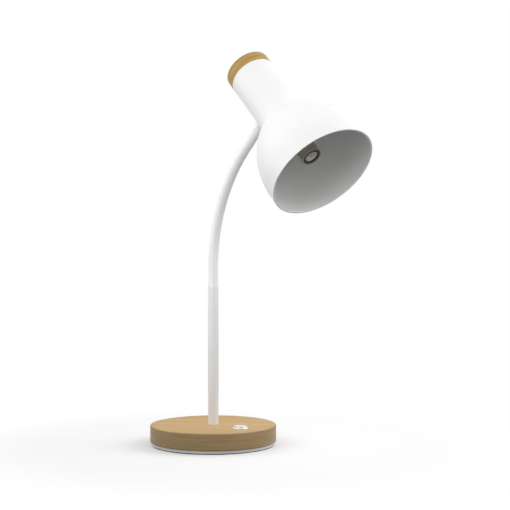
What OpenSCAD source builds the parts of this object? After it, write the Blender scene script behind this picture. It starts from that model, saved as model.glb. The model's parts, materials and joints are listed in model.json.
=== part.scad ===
// Desk lamp: a wooden base disc, a stem tube, a bending gooseneck and a spun bell shade
// with a wooden cap. Millimetres. The origin is on the floor under the middle of the base,
// +Z is up, and the shade leans towards +X.

/* [Base] */
// diameter of the wooden base disc
base_d = 150; // [142:1:180]
// thickness of the wooden base disc
base_h = 20; // [19:0.5:28]
// wood left between the hollow and the disc's side
base_wall = 12; // [10:0.5:14]
// wood left above the hollow
roof_h = 7; // [6:0.5:9]
// rounding of the wood's edges
wood_edge = 1.2; // [0.4:0.1:2]
// how far the steel bottom plate stays inside the wood's side
plate_in = 1.5; // [0.5:0.1:3]
// thickness of the steel bottom plate
plate_h = 3; // [2.6:0.2:4]
// how far the foot pad stays inside the bottom plate's edge
pad_in = 1; // [0.5:0.1:8]
// thickness of the foot pad
pad_h = 1; // [0.6:0.1:2]
// free space between the ballast disc and the hollow's side
weight_in = 3; // [2:0.5:8]
// free height over the bottom plate, where the wires lie
wire_room = 4.5; // [4:0.1:5]
// bore of the rubber grommet that the supply cord goes through
inlet_d = 6.2; // [5.5:0.1:6.4]

/* [Switch] */
// distance from the base's edge to the middle of the switch
switch_in = 26.5; // [24:0.5:28]
// diameter of the switch's bezel
bezel_d = 19; // [18.2:0.1:22]
// height of the bezel over the wood
bezel_h = 1.8; // [1:0.1:2.2]
// diameter of the push button
button_d = 14.6; // [12.6:0.1:14.8]
// height of the released button over the bezel
button_out = 1.6; // [1.6:0.1:3]
// how far the button is pushed in
button_travel = 1.4; // [0.8:0.1:1.5]

/* [Stem] */
// outside diameter of the stem tube
stem_d = 12.5; // [12.2:0.1:14]
// length of the stem tube over the base
stem_l = 164.2; // [120:0.2:220]
// wall of the stem tube
stem_wall = 1.25; // [1:0.05:1.4]
// height of the bright ring between the stem and the gooseneck
ring_h = 1.2; // [0.8:0.1:2]

/* [Gooseneck] */
// outside diameter of the gooseneck's sleeve
hose_d = 11.7; // [11.6:0.1:12]
// wall of the sleeve
sleeve_wall = 0.75; // [0.6:0.05:0.8]
// upright length over the ring, before the bend starts
rise_l = 23; // [18:1:40]
// radius of the bend's centre line
bend_r = 193; // [175:1:230]
// angle that the gooseneck is bent through as stored
bend_angle = 45.5; // [38:0.5:52]
// straight length between the bend and the shade's neck
reach_l = 40; // [34:1:50]
// diameter of the balls that join the hose's links
ball_d = 7.8; // [7.4:0.1:7.9]
// diameter of the wire bore through the links
wire_bore_d = 4.2; // [4:0.1:4.4]

/* [Shade] */
// outside diameter of the shade's skirt
rim_d = 123.4; // [116:0.2:132]
// height of the straight skirt at the rim
skirt_h = 13.5; // [6:0.5:18]
// radius of the dome's arc
dome_r = 95; // [88:1:104]
// thickness of the spun sheet
sheet = 1; // [0.8:0.05:1.2]
// diameter of the rolled bead at the rim
bead_d = 2; // [1.8:0.1:2.6]
// outside diameter of the neck
neck_d = 53.3; // [50:0.1:56]
// length of the neck over the dome
neck_l = 73.4; // [64:0.2:90]
// wall of the neck tube
neck_wall = 1.2; // [1:0.05:1.4]
// height over the dome where the gooseneck enters the neck
entry_h = 24.5; // [24:0.5:32]
// thickness of the wooden cap
cap_h = 14; // [10:0.5:18]

/* [Lamp holder] */
// outside diameter of the lamp holder
holder_d = 23; // [22:0.1:24]
// how far the holder's mouth sits inside the rim
mouth_in = 25; // [20:0.5:30]
// bore of the thread shell for a small screw cap
shell_d = 14; // [13.9:0.02:14.1]
// depth of the thread shell
shell_l = 15; // [14:0.5:17]
// diameter of the lamp cable
cable_d = 3.2; // [2.8:0.1:3.4]

/* [Hidden] */
$fn = 96;
fit = 0.05;               // radial play of a running or screwed fit
gap = 0.3;                // free space between two bodies
eps = 0.01;
lap = 0.4;                // how far a straight run reaches into the bend after it
step = 0.03;              // how much slimmer a bend is than the straight run before it

base_r = base_d / 2;
plate_r = base_r - plate_in;
pad_r = plate_r - pad_in;
z_plate = pad_h;
z_wood = z_plate + plate_h;
z_top = z_wood + base_h;
z_roof = z_top - roof_h;
hollow_r = base_r - base_wall;
weight_r = hollow_r - weight_in;
switch_x = base_r - switch_in;
z_weight = z_wood + wire_room;
z_wire = z_wood + wire_room / 2 + 0.1;

thread_r = 4.95;          // M10 pipe thread
thread_bore_r = 3.4;
thread_past = 1;          // thread that stands out of a nut
nut_af = 14;
nut_h = 4;
washer_r = 10;
washer_h = 1.4;
washer_play = 0.2;
nipple_in = 12;           // how far the stem's nipple reaches into its tube

screw_r = 1.75;           // wood screws
screw_head_r = 3.4;
screw_head_h = 2;
screw_play = 0.4;
plate_screw_r = base_r - base_wall / 2;
plate_screw_in = 11;
weight_screw_r = 42;
weight_screw_in = 5;
weight_screw_angles = [62, -62, 122, -122];
nut_pocket_r = 13;        // room in the ballast round the stem's nut
switch_pocket_r = 13.5;   // and round the switch

inlet_r = inlet_d / 2;
inlet_body_r = 4.5;
inlet_flange_r = 6;
inlet_flange_h = 1.5;
inlet_z = z_wood + 6.5;

block_x = [-46, -28];     // terminal block, front and rear face
block_y = 11;
block_gap = 0.4;          // under the block
block_bore_r = 1.1;
elbow = 0.06;             // how much wider a conductor is where it bends
core_y = 5;
core_turn = 5;            // bend of a conductor under the stem
core_seat = 5;            // how far a conductor sits in its clamp
core_away = 6;            // its straight run before the clamp
core_flat = 2;            // and after the bend under the stem
core_lap = 4;             // how far a conductor runs inside the cable's sheath
round_y = 11.5;           // where the switch's conductor passes the stem's nut
round_x = 8;
pin_y = 2.6;              // the switch's two contacts
pin_in = 3;               // how far a conductor reaches into the switch
pocket_x = block_x[1] + 2;
pocket_y = block_y + 2;

barrel_r = 8;             // threaded barrel of the switch
body_in = 0.4;            // how much slimmer the switch's body is
button_r = button_d / 2;
switch_bore_r = button_r + fit;
switch_nut_af = 19;
switch_nut_h = 3;
z_barrel = z_roof - 5;
z_switch = z_wood + 1.2;
pin_floor = 1.2;
pin_r = 2.4;              // pin under the button
pin_gap = 0.2;
button_edge = 0.6;
skirt_h_in = 4;           // how far the button's skirt reaches into the bezel
skirt_wall = 1.2;
skirt_pocket = 2;         // depth of the spring's seat in the skirt
z_button = z_top + bezel_h + button_out;
z_button_skirt = z_top + bezel_h - skirt_h_in;
spring_wire_r = 0.35;
spring_r = 4.2;
spring_turns = 4;
z_spring = z_barrel + spring_wire_r;

stem_r = stem_d / 2;
stem_in_r = stem_r - stem_wall;
z_stem_top = z_top + stem_l;

hose_r = hose_d / 2;
sleeve_in_r = hose_r - sleeve_wall;
link_r = sleeve_in_r - gap;
ball_r = ball_d / 2;
cup_r = ball_r + 0.06;
lip_h = 1.6;              // how far a cup reaches past its ball's middle
shoulder_h = 3;           // from a ball's middle to the link's shoulder
ball_neck_r = 2.95;
wire_bore_r = wire_bore_d / 2;
cable_r = cable_d / 2;
core_room = (cable_r - 0.1) / 2;
core_r = core_room - 0.05;   // one conductor of the cable
core_in = core_room + 0.03;  // its middle, from the cable's

link_count = 12;
bend_l = bend_r * bend_angle * PI / 180;
path_l = rise_l + bend_l + reach_l;
ring_in = 0.15;           // the bright ring stays inside the stem's side
plug_l = 14;              // the coupler's plug in the stem
first_ball = ring_h + 5.8;
collar_l = 5;
collar_out = 0.5;
last_ball = path_l - collar_l - shoulder_h - 2;
link_pitch = (last_ball - first_ball) / link_count;

neck_r = neck_d / 2;
neck_in_r = neck_r - neck_wall;
rim_r = rim_d / 2;
dome_c = rim_r - dome_r;  // the dome arc's middle lies past the axis
crown_h = skirt_h + sqrt(pow(dome_r, 2) - pow(neck_r - dome_c, 2));
entry = crown_h + entry_h;
neck_top = crown_h + neck_l;
spigot_l = 8;
entry_x = path_x(path_l) + neck_r * sin(bend_angle);
entry_z = path_z(path_l) + neck_r * cos(bend_angle);
mouth_x = entry_x + entry * cos(bend_angle);
mouth_z = entry_z - entry * sin(bend_angle);

web_h = 2;                // holder plate
web_hole_r = 3.5;
web_holes_at = 15;
rivet_r = 1.5;
rivet_at = neck_in_r - 3;
rivet_head_r = 2.4;
rivet_head_h = 1;
flange_r = neck_in_r - 5.4;  // hole in the neck's inner flange
holder_r = holder_d / 2;
holder_wall = 1.3;
holder_floor = 6;
collar_h = 4;             // insulating ring in the holder's mouth
shell_wall = 0.4;
shell_h = mouth_in + 1;
shell_end = shell_h + shell_l;
insert_z = shell_end + gap;
insert_l = 16;
well_r = 5;               // well for the centre contact
well_h = 3;
well_floor = 3;
contact_x = 4;
contact_w = 4;
contact_t = 0.5;
nipple_low = crown_h - 12;
nipple_top = crown_h + web_h + nut_h + 3;
cable_turn = 8;
cable_end = nipple_low - 2;
saddle_r = 8.5;
saddle_x = neck_in_r - 2.4;

// the gooseneck's centre line: upright, then an arc, then straight, by length from the stem's top
function path_a(s) =
    s <= rise_l ? 0 : s >= rise_l + bend_l ? bend_angle : (s - rise_l) / bend_r * 180 / PI;
function path_x(s) =
    bend_r * (1 - cos(path_a(s))) + max(0, s - rise_l - bend_l) * sin(bend_angle);
function path_z(s) =
    z_stem_top + min(s, rise_l) + bend_r * sin(path_a(s))
    + max(0, s - rise_l - bend_l) * cos(bend_angle);

module on_path(s) {
    translate([path_x(s), 0, path_z(s)])
        rotate([0, path_a(s), 0])
            children();
}

// a bar or tube along the centre line between two lengths that lie before and after the bend
module along_path(r, r_in, from, to) {
    translate([0, 0, z_stem_top + from])
        linear_extrude(rise_l - from + lap)
            ring(r, r_in);
    translate([bend_r, 0, z_stem_top + rise_l])
        rotate([90, 0, 0])
            rotate([0, 0, 180 - bend_angle])
                rotate_extrude(angle = bend_angle)
                    translate([bend_r, 0])
                        ring(r - step, r_in + step);
    on_path(rise_l + bend_l)
        translate([0, 0, -lap])
            linear_extrude(to - rise_l - bend_l + lap)
                ring(r, r_in);
}

module ring(r, r_in) {
    if (r_in > 2 * step)
        difference() {
            circle(r = r);
            circle(r = r_in);
        }
    else
        circle(r = r);
}

// the head's own frame: z runs from the shade's mouth to the cap, -x faces the gooseneck
module head() {
    translate([mouth_x, 0, mouth_z])
        rotate([0, bend_angle - 90, 0])
            children();
}

module tube(r_out, r_in, h) {
    difference() {
        cylinder(r = r_out, h = h);
        translate([0, 0, -1])
            cylinder(r = r_in, h = h + 2);
    }
}

module hex_nut(af, r_in, h) {
    difference() {
        cylinder(r = af / sqrt(3), h = h, $fn = 6);
        translate([0, 0, -1])
            cylinder(r = r_in, h = h + 2);
    }
}

// a turned wooden disc with both edges rounded
module wood_disc(r, h, edge) {
    rotate_extrude() {
        square([r - edge, h]);
        translate([0, edge])
            square([r, h - 2 * edge]);
        for (z = [edge, h - edge])
            translate([r - edge, z])
                circle(r = edge);
    }
}

// pan or countersunk head below, shank above, standing on z = 0
module screw(head_r, neck_r, head_h, shank_r, shank_l) {
    cylinder(r1 = head_r, r2 = neck_r, h = head_h);
    translate([0, 0, head_h - eps])
        cylinder(r = shank_r, h = shank_l);
}

module plate_screw_places() {
    for (a = [45:90:315])
        rotate([0, 0, a])
            translate([plate_screw_r, 0, 0])
                children();
}

module weight_screw_places() {
    for (a = weight_screw_angles)
        rotate([0, 0, a])
            translate([weight_screw_r, 0, 0])
                children();
}

module base_disc() {
    color([0.83, 0.69, 0.5])
        difference() {
            translate([0, 0, z_wood])
                wood_disc(base_r, base_h, wood_edge);
            translate([0, 0, z_wood - 1])
                cylinder(r = hollow_r, h = base_h - roof_h + 1);
            cylinder(r = thread_r + fit, h = z_top + 1);
            translate([switch_x, 0, z_wood])
                cylinder(r = barrel_r + fit, h = base_h + 1);
            translate([-base_r - 1, 0, inlet_z])
                rotate([0, 90, 0])
                    cylinder(r = inlet_body_r + fit, h = base_wall + 2);
            plate_screw_places()
                translate([0, 0, z_wood - 1])
                    cylinder(r = screw_r, h = plate_screw_in + 1);
            weight_screw_places()
                translate([0, 0, z_roof - 1])
                    cylinder(r = screw_r, h = weight_screw_in + 1);
        }
}

module bottom_plate() {
    color([0.93, 0.93, 0.92])
        difference() {
            translate([0, 0, z_plate])
                cylinder(r = plate_r, h = plate_h);
            plate_screw_places() {
                translate([0, 0, z_plate - eps])
                    cylinder(r1 = screw_head_r + fit, r2 = screw_r + fit, h = screw_head_h);
                cylinder(r = screw_r + fit, h = z_wood + 1);
            }
        }
}

module foot_pad() {
    color([0.2, 0.2, 0.2])
        cylinder(r = pad_r, h = pad_h);
}

module counterweight() {
    color([0.3, 0.3, 0.32])
        difference() {
            translate([0, 0, z_weight])
                cylinder(r = weight_r, h = z_roof - z_weight);
            translate([0, 0, z_weight - 1])
                cylinder(r = nut_pocket_r, h = base_h);
            translate([switch_x, 0, z_weight - 1])
                cylinder(r = switch_pocket_r, h = base_h);
            translate([-base_r, -pocket_y, z_weight - 1])
                cube([base_r + pocket_x, 2 * pocket_y, base_h]);
            weight_screw_places()
                cylinder(r = screw_r + screw_play, h = z_top);
        }
}

module weight_screws() {
    color([0.75, 0.75, 0.77])
        weight_screw_places()
            translate([0, 0, z_weight - screw_head_h])
                screw(screw_head_r, screw_head_r - 0.6, screw_head_h, screw_r,
                    z_roof - z_weight + weight_screw_in);
}

module plate_screws() {
    color([0.75, 0.75, 0.77])
        plate_screw_places()
            translate([0, 0, z_plate])
                screw(screw_head_r, screw_r, screw_head_h, screw_r,
                    plate_h - screw_head_h + plate_screw_in);
}

module cord_grommet() {
    color([0.88, 0.88, 0.87])
        translate([-base_r - inlet_flange_h, 0, inlet_z])
            rotate([0, 90, 0])
                difference() {
                    union() {
                        cylinder(r = inlet_flange_r, h = inlet_flange_h);
                        cylinder(r = inlet_body_r, h = base_wall + 2 * inlet_flange_h);
                        translate([0, 0, base_wall + inlet_flange_h + gap])
                            cylinder(r = inlet_flange_r, h = inlet_flange_h);
                    }
                    translate([0, 0, -1])
                        cylinder(r = inlet_r, h = base_wall + 3 * inlet_flange_h + 2);
                }
}

module terminal_block() {
    color([0.9, 0.9, 0.86])
        difference() {
            translate([block_x[0], -block_y, z_wood + block_gap])
                cube([block_x[1] - block_x[0], 2 * block_y, z_roof - z_wood - block_gap]);
            for (y = [-core_y, core_y])
                translate([block_x[0] - 1, y, z_wire])
                    rotate([0, 90, 0])
                        cylinder(r = block_bore_r, h = block_x[1] - block_x[0] + 2);
        }
}

function direction(a, b) = (b - a) / norm(b - a);

// a conductor lying at the height of the wires, through points given from above
module core_run(points) {
    for (i = [0:len(points) - 2]) {
        a = points[i];
        b = points[i + 1];
        translate([a[0], a[1], z_wire])
            rotate([0, 90, atan2(b[1] - a[1], b[0] - a[0])])
                cylinder(r = core_r, h = norm(b - a));
    }
    for (i = [1:len(points) - 2]) {
        out = direction(points[i - 1], points[i]) - direction(points[i], points[i + 1]);
        translate([points[i][0], points[i][1], z_wire])
            rotate([0, 0, atan2(out[1], out[0])])
                sphere(r = core_r + elbow, $fn = 48);
    }
}

// live conductor from the terminal block round the stem's nut to the switch
module switch_wire() {
    color([0.45, 0.3, 0.2])
        core_run([
            [block_x[1] - core_seat, core_y],
            [block_x[1] + core_away + core_flat, core_y],
            [-round_x, round_y - 1],
            [0, round_y],
            [switch_x - barrel_r - core_away, pin_y],
            [switch_x - barrel_r + pin_in, pin_y]
        ]);
}

module switch_bezel() {
    color([0.85, 0.85, 0.87])
        translate([switch_x, 0, 0])
            difference() {
                union() {
                    translate([0, 0, z_barrel])
                        cylinder(r = barrel_r, h = z_top - z_barrel + eps);
                    translate([0, 0, z_top])
                        cylinder(r = bezel_d / 2, h = bezel_h / 2);
                    translate([0, 0, z_top + bezel_h / 2])
                        cylinder(r1 = bezel_d / 2, r2 = bezel_d / 2 - bezel_h / 2,
                            h = bezel_h / 2);
                }
                cylinder(r = switch_bore_r, h = z_button + 1);
            }
}

module switch_nut() {
    color([0.75, 0.75, 0.77])
        translate([switch_x, 0, z_roof - switch_nut_h])
            hex_nut(switch_nut_af, barrel_r, switch_nut_h);
}

module switch_body() {
    color([0.15, 0.15, 0.16])
        translate([switch_x, 0, 0])
            difference() {
                union() {
                    translate([0, 0, z_switch])
                        cylinder(r = barrel_r - body_in, h = z_barrel - z_switch);
                    translate([0, 0, z_switch])
                        cylinder(r = switch_bore_r - fit, h = z_barrel - z_switch);
                }
                translate([0, 0, z_switch + pin_floor])
                    cylinder(r = pin_r + fit, h = z_top);
                for (y = [-pin_y, pin_y])
                    translate([-barrel_r - 1, y, z_wire])
                        rotate([0, 90, 0])
                            cylinder(r = core_r + fit, h = pin_in + 1);
            }
}

// return spring of the button, wound between the switch's body and the button's skirt
module switch_spring() {
    height = z_button_skirt + skirt_pocket - z_spring - spring_wire_r;
    half_turn = spring_wire_r * 360 * spring_turns / height;
    color([0.8, 0.8, 0.82])
        translate([switch_x, 0, z_spring])
            linear_extrude(height = height, twist = -360 * spring_turns,
                slices = 24 * spring_turns, $fn = 8)
                polygon([for (t = [0:24:336])
                    let (r = spring_r + spring_wire_r * sin(t), a = half_turn * cos(t))
                    [r * cos(a), r * sin(a)]]);
}

module switch_button() {
    color([0.8, 0.8, 0.82])
        translate([switch_x, 0, 0])
            rotate_extrude()
                difference() {
                    union() {
                        translate([0, z_button_skirt])
                            square([button_r, z_button - z_button_skirt - button_edge]);
                        translate([0, z_button_skirt])
                            square([button_r - button_edge, z_button - z_button_skirt]);
                        translate([button_r - button_edge, z_button - button_edge])
                            circle(r = button_edge);
                        translate([0, z_switch + pin_floor + button_travel + gap])
                            square([pin_r, z_button_skirt - z_switch - pin_floor]);
                    }
                    translate([pin_r + pin_gap, z_button_skirt - 1])
                        square([button_r - skirt_wall - pin_r - pin_gap, skirt_pocket + 1]);
                }
}

module stem_nipple() {
    color([0.8, 0.78, 0.7])
        translate([0, 0, z_roof - washer_h - nut_h - thread_past])
            tube(thread_r, thread_bore_r, roof_h + washer_h + nut_h + thread_past + nipple_in);
}

module stem_washer() {
    color([0.75, 0.75, 0.77])
        translate([0, 0, z_roof - washer_h])
            tube(washer_r, thread_r + washer_play, washer_h);
}

module stem_nut() {
    color([0.75, 0.75, 0.77])
        translate([0, 0, z_roof - washer_h - nut_h])
            hex_nut(nut_af, thread_r, nut_h);
}

module stem_tube() {
    color([0.93, 0.93, 0.92])
        translate([0, 0, z_top])
            tube(stem_r, stem_in_r, stem_l);
}

// a turned link of the hose: ball at z = 0, cup round the next ball at z = pitch
module link(pitch) {
    difference() {
        union() {
            sphere(r = ball_r);
            cylinder(r = ball_neck_r, h = shoulder_h + 1);
            translate([0, 0, shoulder_h])
                cylinder(r = link_r, h = pitch + lip_h - shoulder_h);
        }
        translate([0, 0, -ball_r - 1])
            cylinder(r = wire_bore_r, h = pitch + 2 * ball_r + 2);
        translate([0, 0, pitch])
            sphere(r = cup_r);
    }
}

module gooseneck_link(i) {
    a = first_ball + (i - 1) * link_pitch;
    b = first_ball + i * link_pitch;
    dx = path_x(b) - path_x(a);
    dz = path_z(b) - path_z(a);
    color([0.7, 0.7, 0.72])
        translate([path_x(a), 0, path_z(a)])
            rotate([0, atan2(dx, dz), 0])
                link(norm([dx, dz]));
}

// plug in the stem's top, the bright ring, and the cup of the first ball
module gooseneck_coupler() {
    color([0.88, 0.88, 0.88])
        translate([0, 0, z_stem_top])
            difference() {
                union() {
                    translate([0, 0, -plug_l])
                        cylinder(r = stem_in_r - fit, h = plug_l + eps);
                    cylinder(r = stem_r - ring_in, h = ring_h);
                    translate([0, 0, ring_h - eps])
                        cylinder(r = link_r, h = first_ball + lip_h - ring_h + eps);
                }
                translate([0, 0, -plug_l - 1])
                    cylinder(r = wire_bore_r, h = plug_l + 1 + first_ball);
                translate([0, 0, first_ball])
                    sphere(r = cup_r);
            }
}

module gooseneck_sleeve() {
    color([0.95, 0.95, 0.94])
        along_path(hose_r, sleeve_in_r, ring_h, path_l - collar_l);
}

// last ball, the collar on the neck's wall, and the thread through it
module gooseneck_ferrule() {
    color([0.93, 0.93, 0.92])
        difference() {
            union() {
                on_path(last_ball) {
                    sphere(r = ball_r);
                    cylinder(r = ball_neck_r, h = shoulder_h + 1);
                    translate([0, 0, shoulder_h])
                        cylinder(r = link_r, h = path_l - last_ball - shoulder_h);
                    translate([0, 0, shoulder_h])
                        cylinder(r = thread_r,
                            h = path_l - last_ball - shoulder_h + neck_r - saddle_x + nut_h
                                + thread_past);
                }
                difference() {
                    on_path(path_l - collar_l)
                        cylinder(r = hose_r + collar_out, h = collar_l + 2);
                    head()
                        translate([0, 0, crown_h])
                            cylinder(r = neck_r, h = neck_l);
                }
            }
            on_path(last_ball)
                translate([0, 0, -ball_r - 1])
                    cylinder(r = wire_bore_r, h = path_l - last_ball + neck_r + ball_r);
        }
}

// from the terminal block up the stem and the gooseneck and down to the lamp holder
module lamp_cable() {
    core_out = core_in + core_turn;
    color([0.85, 0.85, 0.83]) {
        for (m = [0, 1])
            mirror([m, 0, 0]) {
                translate([core_in, 0, z_wire + core_turn - lap])
                    cylinder(r = core_r, h = lap + core_lap);
                translate([core_out, 0, z_wire + core_turn])
                    rotate([90, 0, 0])
                        rotate([0, 0, 180])
                            rotate_extrude(angle = 90)
                                translate([core_turn, 0])
                                    circle(r = core_r - step);
            }
        core_run([
            [-core_out + lap, 0],
            [-core_out - core_flat, 0],
            [block_x[1] + core_away, -core_y],
            [block_x[1] - core_seat, -core_y]
        ]);
        core_run([
            [core_out - lap, 0],
            [core_out + core_flat, 0],
            [switch_x - barrel_r - core_away, -pin_y],
            [switch_x - barrel_r + pin_in, -pin_y]
        ]);
        along_path(cable_r, 0, z_wire + core_turn + core_lap / 2 - z_stem_top,
            path_l + neck_r - cable_turn + lap);
        head() {
            translate([-cable_turn, 0, entry - cable_turn])
                rotate([90, 0, 0])
                    rotate_extrude(angle = 90)
                        translate([cable_turn, 0])
                            circle(r = cable_r - step);
            translate([0, 0, cable_end])
                cylinder(r = cable_r, h = entry - cable_turn - cable_end + lap);
            for (y = [-core_in, core_in])
                translate([0, y, insert_z + insert_l - core_seat])
                    cylinder(r = core_r, h = cable_end + core_lap + core_seat - insert_z - insert_l);
        }
    }
}

// shaped ring between the neck's round inside and its flat nut
module neck_washer() {
    color([0.75, 0.75, 0.77])
        head()
            difference() {
                intersection() {
                    translate([-neck_r, 0, entry])
                        rotate([0, 90, 0])
                            cylinder(r = saddle_r, h = neck_r - saddle_x);
                    translate([0, 0, crown_h])
                        cylinder(r = neck_in_r, h = neck_l);
                }
                translate([-neck_r - 1, 0, entry])
                    rotate([0, 90, 0])
                        cylinder(r = thread_r + fit, h = neck_r);
            }
}

module neck_nut() {
    color([0.75, 0.75, 0.77])
        head()
            translate([-saddle_x, 0, entry])
                rotate([0, 90, 0])
                    hex_nut(nut_af, thread_r, nut_h);
}

module rivet_places() {
    for (a = [0:120:240])
        rotate([0, 0, a])
            translate([rivet_at, 0, crown_h])
                children();
}

// the neck, with a narrow flange inside that the holder plate is riveted to
module neck_tube() {
    color([0.94, 0.94, 0.93])
        head()
            difference() {
                union() {
                    translate([0, 0, crown_h])
                        tube(neck_r, neck_in_r, neck_l);
                    translate([0, 0, crown_h + web_h])
                        tube(neck_in_r + eps, flange_r, sheet);
                }
                translate([-neck_r - 1, 0, entry])
                    rotate([0, 90, 0])
                        cylinder(r = thread_r + fit, h = neck_r);
                rivet_places()
                    cylinder(r = rivet_r, h = neck_l);
            }
}

// the dome's section: a straight skirt, then an arc up to the neck
module dome_half(r_arc, r_rim) {
    square([r_rim, skirt_h]);
    intersection() {
        translate([dome_c, skirt_h])
            circle(r = r_arc, $fn = 256);
        translate([0, skirt_h])
            square([rim_r + 1, dome_r]);
    }
}

module shade_dome() {
    color([0.95, 0.95, 0.94])
        head()
            rotate_extrude() {
                difference() {
                    dome_half(dome_r, rim_r);
                    translate([0, -eps])
                        dome_half(dome_r - sheet, rim_r - sheet);
                    translate([-1, crown_h])
                        square([neck_r + 1, dome_r]);
                }
                translate([rim_r - bead_d / 2, bead_d / 2])
                    circle(r = bead_d / 2);
            }
}

module holder_plate() {
    color([0.75, 0.75, 0.77])
        head()
            translate([0, 0, crown_h])
                difference() {
                    cylinder(r = neck_in_r - fit, h = web_h);
                    translate([0, 0, -1])
                        cylinder(r = thread_r + fit, h = web_h + 2);
                    for (a = [60:120:300])
                        rotate([0, 0, a])
                            translate([web_holes_at, 0, -1])
                                cylinder(r = web_hole_r, h = web_h + 2);
                    translate([0, 0, -crown_h - 1])
                        rivet_places()
                            cylinder(r = rivet_r, h = web_h + 2);
                }
}

// rivets through the plate and the neck's flange, each with two low heads
module plate_rivets() {
    color([0.75, 0.75, 0.77])
        head()
            rivet_places() {
                cylinder(r = rivet_r, h = web_h + sheet);
                translate([0, 0, -rivet_head_h])
                    cylinder(r1 = rivet_r, r2 = rivet_head_r, h = rivet_head_h);
                translate([0, 0, web_h + sheet])
                    cylinder(r1 = rivet_head_r, r2 = rivet_r, h = rivet_head_h);
            }
}

module holder_nipple() {
    color([0.8, 0.78, 0.7])
        head()
            translate([0, 0, nipple_low])
                tube(thread_r, thread_bore_r, nipple_top - nipple_low);
}

module nipple_nut() {
    color([0.75, 0.75, 0.77])
        head()
            translate([0, 0, crown_h + web_h])
                hex_nut(nut_af, thread_r, nut_h);
}

module holder_sleeve() {
    color([0.45, 0.43, 0.37])
        head()
            difference() {
                translate([0, 0, mouth_in])
                    cylinder(r = holder_r, h = crown_h - mouth_in);
                translate([0, 0, mouth_in - 1])
                    cylinder(r = holder_r - holder_wall, h = crown_h - mouth_in - holder_floor + 1);
                cylinder(r = thread_r, h = crown_h + 1);
            }
}

module holder_collar() {
    color([0.12, 0.12, 0.12])
        head()
            translate([0, 0, mouth_in])
                tube(holder_r - holder_wall, shell_d / 2 + shell_wall, collar_h);
}

module holder_insert() {
    color([0.92, 0.9, 0.86])
        head()
            translate([0, 0, insert_z])
                difference() {
                    cylinder(r = holder_r - holder_wall - fit, h = insert_l);
                    translate([0, 0, -1])
                        cylinder(r = well_r, h = well_h + 1);
                    translate([0, 0, well_h + well_floor])
                        cylinder(r = cable_r + fit, h = insert_l);
                }
}

module thread_shell() {
    color([0.8, 0.78, 0.72])
        head()
            translate([0, 0, shell_h])
                tube(shell_d / 2 + shell_wall, shell_d / 2, shell_l);
}

// sprung tongue that touches the lamp's foot, bent from one strip
module centre_contact() {
    tip = 0.2;
    color([0.85, 0.7, 0.4])
        head()
            translate([0, contact_w / 2, insert_z])
                rotate([90, 0, 0])
                    linear_extrude(contact_w)
                        polygon([
                            [-contact_x, well_h],
                            [-contact_x, well_h - contact_t],
                            [-1, well_h - contact_t],
                            [contact_x - 1.5, tip],
                            [contact_x, tip],
                            [contact_x, tip + contact_t],
                            [contact_x - 1.2, tip + contact_t],
                            [-0.7, well_h]
                        ]);
}

module cap() {
    color([0.78, 0.62, 0.42])
        head()
            translate([0, 0, neck_top]) {
                wood_disc(neck_r, cap_h, wood_edge);
                translate([0, 0, -spigot_l])
                    cylinder(r = neck_in_r - fit, h = spigot_l + 1);
            }
}

base_disc();
bottom_plate();
foot_pad();
counterweight();
weight_screws();
plate_screws();
cord_grommet();
terminal_block();
switch_wire();
switch_bezel();
switch_nut();
switch_body();
switch_spring();
switch_button();
stem_nipple();
stem_washer();
stem_nut();
stem_tube();
gooseneck_coupler();
gooseneck_link(1);  // gooseneck_link_01
gooseneck_link(2);  // gooseneck_link_02
gooseneck_link(3);  // gooseneck_link_03
gooseneck_link(4);  // gooseneck_link_04
gooseneck_link(5);  // gooseneck_link_05
gooseneck_link(6);  // gooseneck_link_06
gooseneck_link(7);  // gooseneck_link_07
gooseneck_link(8);  // gooseneck_link_08
gooseneck_link(9);  // gooseneck_link_09
gooseneck_link(10);  // gooseneck_link_10
gooseneck_link(11);  // gooseneck_link_11
gooseneck_link(12);  // gooseneck_link_12
gooseneck_sleeve();
gooseneck_ferrule();
lamp_cable();
neck_washer();
neck_nut();
neck_tube();
shade_dome();
holder_plate();
plate_rivets();
holder_nipple();
nipple_nut();
holder_sleeve();
holder_collar();
holder_insert();
thread_shell();
centre_contact();
cap();
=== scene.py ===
import json
import math

import bmesh
import bpy
from mathutils import Matrix, Vector


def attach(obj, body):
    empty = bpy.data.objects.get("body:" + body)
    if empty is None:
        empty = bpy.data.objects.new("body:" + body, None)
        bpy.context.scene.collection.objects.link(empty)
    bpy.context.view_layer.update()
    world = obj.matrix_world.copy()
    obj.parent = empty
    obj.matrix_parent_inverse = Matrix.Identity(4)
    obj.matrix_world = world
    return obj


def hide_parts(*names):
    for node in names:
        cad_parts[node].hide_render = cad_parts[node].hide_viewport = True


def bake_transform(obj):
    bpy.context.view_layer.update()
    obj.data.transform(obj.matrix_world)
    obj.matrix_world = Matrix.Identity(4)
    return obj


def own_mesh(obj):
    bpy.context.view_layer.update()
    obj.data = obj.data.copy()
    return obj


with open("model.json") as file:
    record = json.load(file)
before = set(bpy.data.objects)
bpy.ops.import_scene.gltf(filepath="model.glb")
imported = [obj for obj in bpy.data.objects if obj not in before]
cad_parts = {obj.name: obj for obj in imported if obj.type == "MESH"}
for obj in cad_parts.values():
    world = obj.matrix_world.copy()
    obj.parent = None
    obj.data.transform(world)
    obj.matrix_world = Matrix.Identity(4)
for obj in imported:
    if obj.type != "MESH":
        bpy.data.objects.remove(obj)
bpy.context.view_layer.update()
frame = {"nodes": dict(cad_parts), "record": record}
nodes = frame["nodes"]
print("frame loaded:", len(nodes), "nodes")

# camera, at the angle the lamp was pictured from
view = {
    "place": (1.0963, -0.9303, 0.2364),
    "ahead": (-0.7396, 0.6730, 0.0),
    "lens": 85.0,
    "sensor": 36.0,
    "shiftDown": 0.0176,  # brings the horizon a little above the middle
}

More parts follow.
